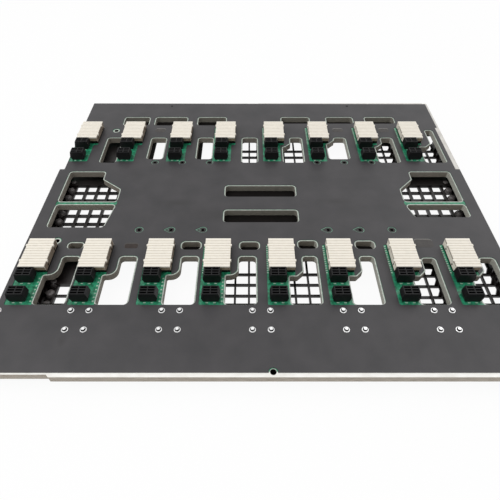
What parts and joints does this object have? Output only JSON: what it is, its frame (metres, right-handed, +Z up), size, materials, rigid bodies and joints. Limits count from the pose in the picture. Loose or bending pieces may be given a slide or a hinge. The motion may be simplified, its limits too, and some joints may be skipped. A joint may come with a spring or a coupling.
{
  "type": "blade chassis midplane",
  "caption": "Thick circuit board with blade connectors in rows on its face, air openings with dished guards, and power supply, module and fan connectors on its back.",
  "frame": {"origin": "bottom centre of the midplane as it lies on its rear parts, blade side up", "axes": "+X along the front edge to the right, +Y from the front edge to the back edge, +Z up out of the blade side"},
  "size_m": [0.4326, 0.383, 0.029],
  "materials": {
    "board": "satin",
    "front_film": "matte",
    "rear_film": "matte",
    "cream_plastic": "satin",
    "black_plastic": "satin",
    "guard": "satin"
  },
  "bodies": {
    "root": {"midplane_board": "board", "front_insulator_film": "front_film", "rear_insulator_film": "rear_film", "fan_connectors": "black_plastic", "air_guard_front_1": "guard", "air_guard_front_4": "guard", "air_guard_front_5": "guard", "air_guard_front_7": "guard", "air_guard_front_8": "guard", "air_guard_rear_1": "guard", "air_guard_rear_4": "guard", "air_guard_rear_5": "guard", "air_guard_rear_7": "guard", "air_guard_rear_8": "guard", "air_guard_side_left": "guard", "air_guard_side_right": "guard", "supply_connector_1": "black_plastic", "module_connector_1": "black_plastic", "supply_connector_2": "black_plastic", "module_connector_2": "black_plastic", "supply_connector_3": "black_plastic", "module_connector_3": "black_plastic", "supply_connector_4": "black_plastic", "module_connector_4": "black_plastic", "supply_connector_5": "black_plastic", "module_connector_5": "black_plastic", "supply_connector_6": "black_plastic", "module_connector_6": "black_plastic", "signal_connector_front_1": "cream_plastic", "power_connectors_front_1": "black_plastic", "signal_connector_front_2": "cream_plastic", "power_connectors_front_2": "black_plastic", "signal_connector_front_3": "cream_plastic", "power_connectors_front_3": "black_plastic", "signal_connector_front_4": "cream_plastic", "power_connectors_front_4": "black_plastic", "signal_connector_front_5": "cream_plastic", "power_connectors_front_5": "black_plastic", "signal_connector_front_6": "cream_plastic", "power_connectors_front_6": "black_plastic", "signal_connector_front_7": "cream_plastic", "power_connectors_front_7": "black_plastic", "signal_connector_front_8": "cream_plastic", "power_connectors_front_8": "black_plastic", "signal_connector_rear_1": "cream_plastic", "power_connectors_rear_1": "black_plastic", "signal_connector_rear_2": "cream_plastic", "power_connectors_rear_2": "black_plastic", "signal_connector_rear_3": "cream_plastic", "power_connectors_rear_3": "black_plastic", "signal_connector_rear_4": "cream_plastic", "power_connectors_rear_4": "black_plastic", "signal_connector_rear_5": "cream_plastic", "power_connectors_rear_5": "black_plastic", "signal_connector_rear_6": "cream_plastic", "power_connectors_rear_6": "black_plastic", "signal_connector_rear_7": "cream_plastic", "power_connectors_rear_7": "black_plastic", "signal_connector_rear_8": "cream_plastic", "power_connectors_rear_8": "black_plastic"}
  },
  "joints": []
}
